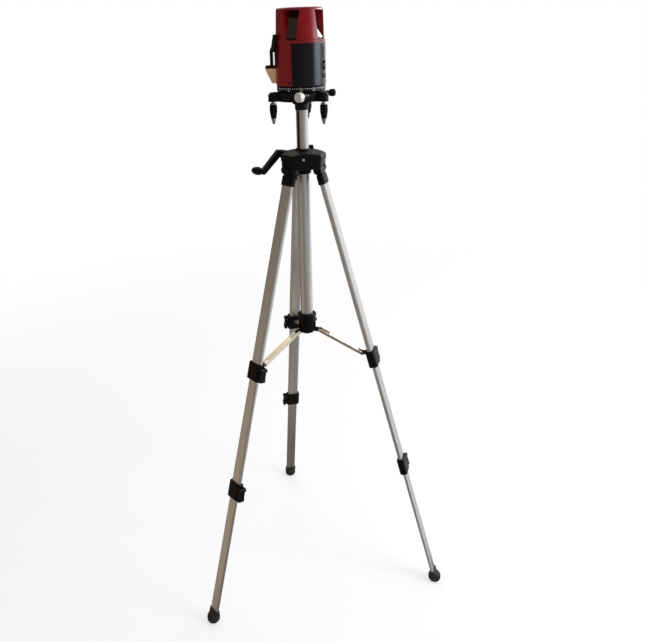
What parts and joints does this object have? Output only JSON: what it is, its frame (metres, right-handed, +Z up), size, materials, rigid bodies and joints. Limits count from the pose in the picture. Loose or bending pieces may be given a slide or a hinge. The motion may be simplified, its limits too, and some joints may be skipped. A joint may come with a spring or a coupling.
{
  "type": "laser level tripod",
  "caption": "Cylindrical laser level with slanted head windows on a levelling base, on a folding aluminium tripod with telescopic legs, spreader and cranked centre column.",
  "frame": {"origin": "on the floor, on the axis of the centre column", "axes": "+Z up along the column; the picture looks along about +Y with +X to its right"},
  "size_m": [0.5325, 0.5184, 1.2574],
  "materials": {
    "aluminium_tube": "satin anodised",
    "brace_metal": "bright pressed sheet",
    "black_plastic": "fine grained moulding",
    "clamp_plastic": "satin moulding",
    "lever_plastic": "satin moulding",
    "knob_plastic": "knurled moulding",
    "rack_plastic": "toothed moulding",
    "foot_rubber": "matte",
    "bright_steel": "turned and plated",
    "black_metal": "black coated casting",
    "red_plastic": "glossy moulding",
    "dark_glass": "dark tinted",
    "cream_plastic": "glossy moulding"
  },
  "bodies": {
    "crown": {"crown": "black_plastic", "hinge_pins": "bright_steel", "column_bush": "black_plastic", "guide_tube": "aluminium_tube"},
    "hub": {"spreader_hub": "black_plastic"},
    "hub_knob": {"hub_knob": "knob_plastic"},
    "leg_left": {"leg_cap_left": "black_plastic", "upper_tube_left": "aluminium_tube", "upper_clamp_left": "clamp_plastic"},
    "brace_left": {"brace_left": "brace_metal"},
    "upper_lever_left": {"upper_lever_left": "lever_plastic"},
    "middle_left": {"middle_tube_left": "aluminium_tube", "lower_clamp_left": "clamp_plastic"},
    "lower_lever_left": {"lower_lever_left": "lever_plastic"},
    "lower_left": {"lower_tube_left": "aluminium_tube", "foot_left": "foot_rubber"},
    "leg_right": {"leg_cap_right": "black_plastic", "upper_tube_right": "aluminium_tube", "upper_clamp_right": "clamp_plastic"},
    "brace_right": {"brace_right": "brace_metal"},
    "upper_lever_right": {"upper_lever_right": "lever_plastic"},
    "middle_right": {"middle_tube_right": "aluminium_tube", "lower_clamp_right": "clamp_plastic"},
    "lower_lever_right": {"lower_lever_right": "lever_plastic"},
    "lower_right": {"lower_tube_right": "aluminium_tube", "foot_right": "foot_rubber"},
    "leg_back": {"leg_cap_back": "black_plastic", "upper_tube_back": "aluminium_tube", "upper_clamp_back": "clamp_plastic"},
    "brace_back": {"brace_back": "brace_metal"},
    "upper_lever_back": {"upper_lever_back": "lever_plastic"},
    "middle_back": {"middle_tube_back": "aluminium_tube", "lower_clamp_back": "clamp_plastic"},
    "lower_lever_back": {"lower_lever_back": "lever_plastic"},
    "lower_back": {"lower_tube_back": "aluminium_tube", "foot_back": "foot_rubber"},
    "column": {"column_tube": "aluminium_tube", "column_rack": "rack_plastic", "column_head": "black_metal", "tribrach": "black_metal", "dial_ring": "black_metal"},
    "crank": {"crank_shaft": "bright_steel", "crank_arm": "black_plastic"},
    "crank_knob": {"crank_knob": "knob_plastic"},
    "lock_knob": {"lock_knob": "knob_plastic"},
    "laser": {"laser_body": "red_plastic", "laser_head": "red_plastic", "laser_windows": "dark_glass", "front_hood": "black_plastic", "front_window": "dark_glass", "front_chin": "cream_plastic"},
    "power_switch": {"power_switch": "black_plastic"},
    "tangent_knob": {"tangent_knob": "bright_steel"},
    "dial_lock_knob": {"dial_lock_knob": "knob_plastic"},
    "level_screw_left": {"level_screw_left": "bright_steel"},
    "level_grip_left": {"level_grip_left": "knob_plastic"},
    "level_screw_right": {"level_screw_right": "bright_steel"},
    "level_grip_right": {"level_grip_right": "knob_plastic"},
    "level_screw_back": {"level_screw_back": "bright_steel"},
    "level_grip_back": {"level_grip_back": "knob_plastic"}
  },
  "joints": [
    {"name": "leg_left_fold", "type": "hinge", "parent": "crown", "child": "leg_left", "pos_m": [-0.02527, -0.02275, 0.96199], "axis": [0.6691, -0.7431, 0], "range_deg": [0, 14.5]},
    {"name": "brace_left_turn", "type": "hinge", "parent": "leg_left", "child": "brace_left", "pos_m": [-0.09088, -0.08183, 0.57138], "axis": [0.6691, -0.7431, 0], "range_deg": [0, 55.19]},
    {"name": "upper_lever_left_flip", "type": "hinge", "parent": "leg_left", "child": "upper_lever_left", "pos_m": [-0.09051, -0.11164, 0.57269], "axis": [-0.7161, -0.6448, 0.2672], "range_deg": [0, 115]},
    {"name": "lower_lever_left_flip", "type": "hinge", "parent": "middle_left", "child": "lower_lever_left", "pos_m": [-0.14427, -0.15857, 0.3154], "axis": [-0.7161, -0.6448, 0.2672], "range_deg": [0, 115]},
    {"name": "middle_left_slide", "type": "slide", "parent": "leg_left", "child": "middle_left", "axis": [0.1986, 0.1788, 0.9636], "range_m": [0, 0.21]},
    {"name": "lower_left_slide", "type": "slide", "parent": "middle_left", "child": "lower_left", "axis": [0.1986, 0.1788, 0.9636], "range_m": [0, 0.25]},
    {"name": "leg_right_fold", "type": "hinge", "parent": "crown", "child": "leg_right", "pos_m": [0.03234, -0.01051, 0.96199], "axis": [0.309, 0.9511, 0], "range_deg": [0, 14.5]},
    {"name": "brace_right_turn", "type": "hinge", "parent": "leg_right", "child": "brace_right", "pos_m": [0.11631, -0.03779, 0.57138], "axis": [0.309, 0.9511, 0], "range_deg": [0, 55.19]},
    {"name": "upper_lever_right_flip", "type": "hinge", "parent": "leg_right", "child": "upper_lever_right", "pos_m": [0.14194, -0.02257, 0.57269], "axis": [0.9165, -0.2978, 0.2672], "range_deg": [0, 115]},
    {"name": "lower_lever_right_flip", "type": "hinge", "parent": "middle_right", "child": "lower_lever_right", "pos_m": [0.20946, -0.04566, 0.3154], "axis": [0.9165, -0.2978, 0.2672], "range_deg": [0, 115]},
    {"name": "middle_right_slide", "type": "slide", "parent": "leg_right", "child": "middle_right", "axis": [-0.2542, 0.0826, 0.9636], "range_m": [0, 0.21]},
    {"name": "lower_right_slide", "type": "slide", "parent": "middle_right", "child": "lower_right", "axis": [-0.2542, 0.0826, 0.9636], "range_m": [0, 0.25]},
    {"name": "leg_back_fold", "type": "hinge", "parent": "crown", "child": "leg_back", "pos_m": [-0.00707, 0.03326, 0.96199], "axis": [-0.9781, -0.2079, 0], "range_deg": [0, 14.5]},
    {"name": "brace_back_turn", "type": "hinge", "parent": "leg_back", "child": "brace_back", "pos_m": [-0.02543, 0.11962, 0.57138], "axis": [-0.9781, -0.2079, 0], "range_deg": [0, 55.19]},
    {"name": "upper_lever_back_flip", "type": "hinge", "parent": "leg_back", "child": "upper_lever_back", "pos_m": [-0.05143, 0.1342, 0.57269], "axis": [-0.2004, 0.9426, 0.2672], "range_deg": [0, 115]},
    {"name": "lower_lever_back_flip", "type": "hinge", "parent": "middle_back", "child": "lower_lever_back", "pos_m": [-0.06519, 0.20423, 0.3154], "axis": [-0.2004, 0.9426, 0.2672], "range_deg": [0, 115]},
    {"name": "middle_back_slide", "type": "slide", "parent": "leg_back", "child": "middle_back", "axis": [0.0556, -0.2614, 0.9636], "range_m": [0, 0.21]},
    {"name": "lower_back_slide", "type": "slide", "parent": "middle_back", "child": "lower_back", "axis": [0.0556, -0.2614, 0.9636], "range_m": [0, 0.25]},
    {"name": "hub_slide", "type": "slide", "parent": "crown", "child": "hub", "axis": [0, 0, 1], "range_m": [0, 0.05108]},
    {"name": "hub_knob_turn", "type": "hinge", "parent": "hub", "child": "hub_knob", "pos_m": [0.01375, 0.01238, 0.62738], "axis": [0.7431, 0.6691, 0], "range_deg": [0, 360]},
    {"name": "column_slide", "type": "slide", "parent": "crown", "child": "column", "axis": [0, 0, 1], "range_m": [-0.045, 0.15]},
    {"name": "crank_turn", "type": "hinge", "parent": "crown", "child": "crank", "pos_m": [-0.0107, -0.01276, 0.98999], "axis": [-0.766, 0.6428, 0], "range_deg": [-1434, 431]},
    {"name": "crank_knob_spin", "type": "hinge", "parent": "crank", "child": "crank_knob", "pos_m": [-0.03981, -0.04745, 0.96058], "axis": [-0.766, 0.6428, 0], "continuous": true},
    {"name": "lock_knob_turn", "type": "hinge", "parent": "crown", "child": "lock_knob", "pos_m": [0.01637, 0.01755, 0.99899], "axis": [0, 0, 1], "range_deg": [0, 360]},
    {"name": "laser_pan", "type": "hinge", "parent": "column", "child": "laser", "pos_m": [0, 0, 1.12239], "axis": [0, 0, 1], "continuous": true},
    {"name": "switch_slide", "type": "slide", "parent": "laser", "child": "power_switch", "axis": [0, 0, 1], "range_m": [-0.0032, 0.0032]},
    {"name": "tangent_knob_spin", "type": "hinge", "parent": "column", "child": "tangent_knob", "pos_m": [0.02605, -0.02185, 1.10399], "axis": [-0.6428, -0.766, 0], "continuous": true},
    {"name": "dial_lock_turn", "type": "hinge", "parent": "column", "child": "dial_lock_knob", "pos_m": [0.04482, 0.01413, 1.10399], "axis": [0.9537, 0.3007, 0], "range_deg": [0, 360]},
    {"name": "level_screw_left_slide", "type": "slide", "parent": "column", "child": "level_screw_left", "axis": [0, 0, 1], "range_m": [-0.00249, 0.00249]},
    {"name": "level_grip_left_turn", "type": "hinge", "parent": "level_screw_left", "child": "level_grip_left", "pos_m": [-0.05341, -0.01684, 1.09399], "axis": [0, 0, 1], "range_deg": [-720, 720]},
    {"name": "level_screw_right_slide", "type": "slide", "parent": "column", "child": "level_screw_right", "axis": [0, 0, 1], "range_m": [-0.00249, 0.00249]},
    {"name": "level_grip_right_turn", "type": "hinge", "parent": "level_screw_right", "child": "level_grip_right", "pos_m": [0.04129, -0.03783, 1.09399], "axis": [0, 0, 1], "range_deg": [-720, 720]},
    {"name": "level_screw_back_slide", "type": "slide", "parent": "column", "child": "level_screw_back", "axis": [0, 0, 1], "range_m": [-0.00249, 0.00249]},
    {"name": "level_grip_back_turn", "type": "hinge", "parent": "level_screw_back", "child": "level_grip_back", "pos_m": [0.01212, 0.05467, 1.09399], "axis": [0, 0, 1], "range_deg": [-720, 720]}
  ],
  "couplings": [
    {"joint": "brace_left_turn", "follows": "leg_left_fold", "ratio": 3.8056},
    {"joint": "leg_right_fold", "follows": "leg_left_fold", "ratio": 1},
    {"joint": "brace_right_turn", "follows": "leg_left_fold", "ratio": 3.8056},
    {"joint": "leg_back_fold", "follows": "leg_left_fold", "ratio": 1},
    {"joint": "brace_back_turn", "follows": "leg_left_fold", "ratio": 3.8056},
    {"joint": "hub_slide", "follows": "leg_left_fold", "m_per_rad": 0.20104},
    {"joint": "crank_turn", "follows": "column_slide", "rad_per_m": -166.67},
    {"joint": "level_grip_left_turn", "follows": "level_screw_left_slide", "rad_per_m": 5026.5},
    {"joint": "level_grip_right_turn", "follows": "level_screw_right_slide", "rad_per_m": 5026.5},
    {"joint": "level_grip_back_turn", "follows": "level_screw_back_slide", "rad_per_m": 5026.5}
  ]
}
